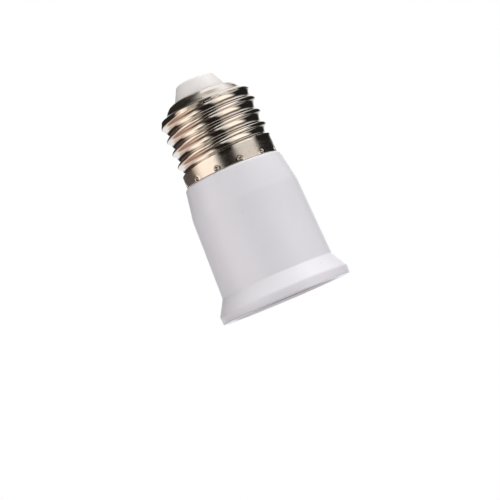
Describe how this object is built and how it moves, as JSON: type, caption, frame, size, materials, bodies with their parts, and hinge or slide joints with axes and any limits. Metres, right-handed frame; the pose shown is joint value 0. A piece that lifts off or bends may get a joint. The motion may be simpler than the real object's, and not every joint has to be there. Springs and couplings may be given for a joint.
{
  "type": "lamp socket adapter",
  "caption": "White moulded lamp socket extender: a screw cap with a rolled thread and a low tip contact at one end, and a screw socket in a flared mouth at the other.",
  "frame": {"origin": "centre of the mouth rim, on the plane that the adapter stands on", "axes": "+Z along the axis from the mouth towards the tip contact; +X along the leaf spring"},
  "size_m": [0.0358, 0.0358, 0.0628],
  "materials": {
    "white_moulding": "moulded PBT with a satin gloss",
    "nickel_sheet": "nickel-plated rolled sheet",
    "contact_brass": "stamped brass",
    "spring_bronze": "spring bronze strip",
    "carrier_moulding": "moulded thermoset disc",
    "screw_steel": "zinc-plated steel",
    "lead_insulation": "wire insulation"
  },
  "bodies": {
    "adapter": {"housing": "white_moulding", "screw_shell": "nickel_sheet", "tip_contact": "contact_brass", "socket_shell": "nickel_sheet", "contact_carrier": "carrier_moulding", "shell_rivets": "contact_brass", "carrier_screws": "screw_steel", "centre_contact_rivet": "contact_brass", "live_tag": "contact_brass", "live_lead": "lead_insulation", "neutral_strip": "contact_brass"},
    "contact_leaf": {"centre_contact_spring": "spring_bronze"}
  },
  "joints": [
    {"name": "centre_contact_flex", "type": "hinge", "parent": "adapter", "child": "contact_leaf", "pos_m": [-0.00151, 0, 0.02533], "axis": [0, -1, 0], "range_deg": [0, 18], "stiffness_Nm_per_rad": 0.25, "deforming": ["centre_contact_spring"]}
  ]
}
